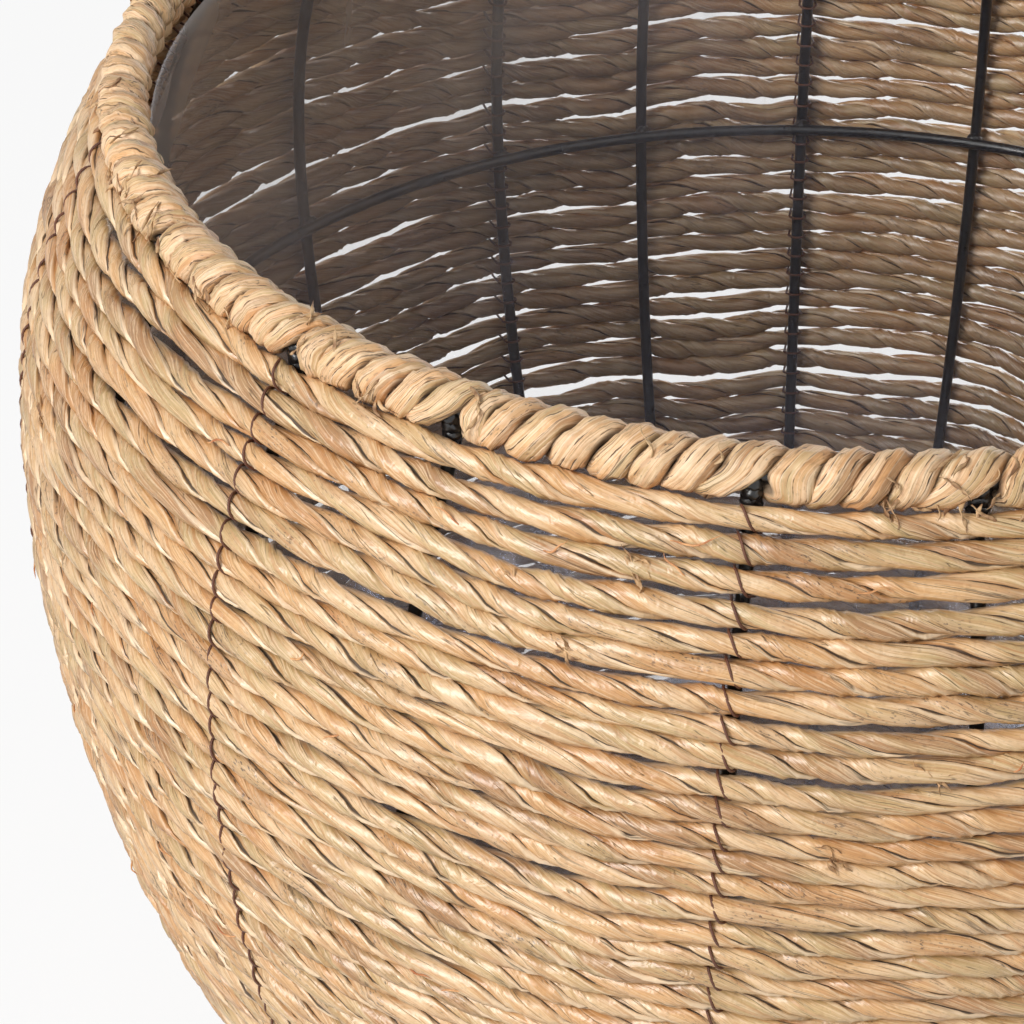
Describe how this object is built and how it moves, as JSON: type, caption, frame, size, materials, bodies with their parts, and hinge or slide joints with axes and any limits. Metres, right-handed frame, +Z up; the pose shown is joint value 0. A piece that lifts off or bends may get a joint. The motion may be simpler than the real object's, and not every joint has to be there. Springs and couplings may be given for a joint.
{
  "type": "basket planter",
  "caption": "Round belly-shaped planter basket of twisted leaf rope on a black wire frame, with a leaf-wrapped rim and a clear film liner.",
  "frame": {"origin": "centre of the basket's footprint on the surface it stands on", "axes": "+Z up through the mouth; -Y towards the side that the picture shows, +X to its right"},
  "size_m": [0.5047, 0.503, 0.3669],
  "materials": {
    "leaf_rope": "dry twisted water-plant leaf, straw and greenish tan with brown streaks, satin sheen",
    "leaf_wrap": "bundles of dry shredded leaf, straw to light tan, satin sheen",
    "black_frame": "black gloss paint on steel wire",
    "brown_thread": "dark brown waxed thread",
    "clear_film": "thin clear plastic film, creased and glossy"
  },
  "bodies": {
    "root": {"rope_wall": "leaf_rope", "rope_base": "leaf_rope", "rim_wrap": "leaf_wrap", "film_liner": "clear_film", "top_ring": "black_frame", "belly_hoop": "black_frame", "base_ring": "black_frame", "base_bar_lower": "black_frame", "base_bar_upper": "black_frame", "rib_01": "black_frame", "rib_02": "black_frame", "rib_03": "black_frame", "rib_04": "black_frame", "rib_05": "black_frame", "rib_06": "black_frame", "rib_07": "black_frame", "rib_08": "black_frame", "rib_09": "black_frame", "rib_10": "black_frame", "rib_11": "black_frame", "rib_12": "black_frame", "rib_13": "black_frame", "rib_14": "black_frame", "rib_15": "black_frame", "rib_16": "black_frame", "rib_17": "black_frame", "rib_18": "black_frame", "rib_19": "black_frame", "rib_20": "black_frame", "rib_21": "black_frame", "rib_22": "black_frame", "stitch_column_01": "brown_thread", "stitch_column_02": "brown_thread", "stitch_column_03": "brown_thread", "stitch_column_04": "brown_thread", "stitch_column_05": "brown_thread", "stitch_column_06": "brown_thread", "stitch_column_07": "brown_thread", "stitch_column_08": "brown_thread", "stitch_column_09": "brown_thread", "stitch_column_10": "brown_thread", "stitch_column_11": "brown_thread"}
  },
  "joints": []
}
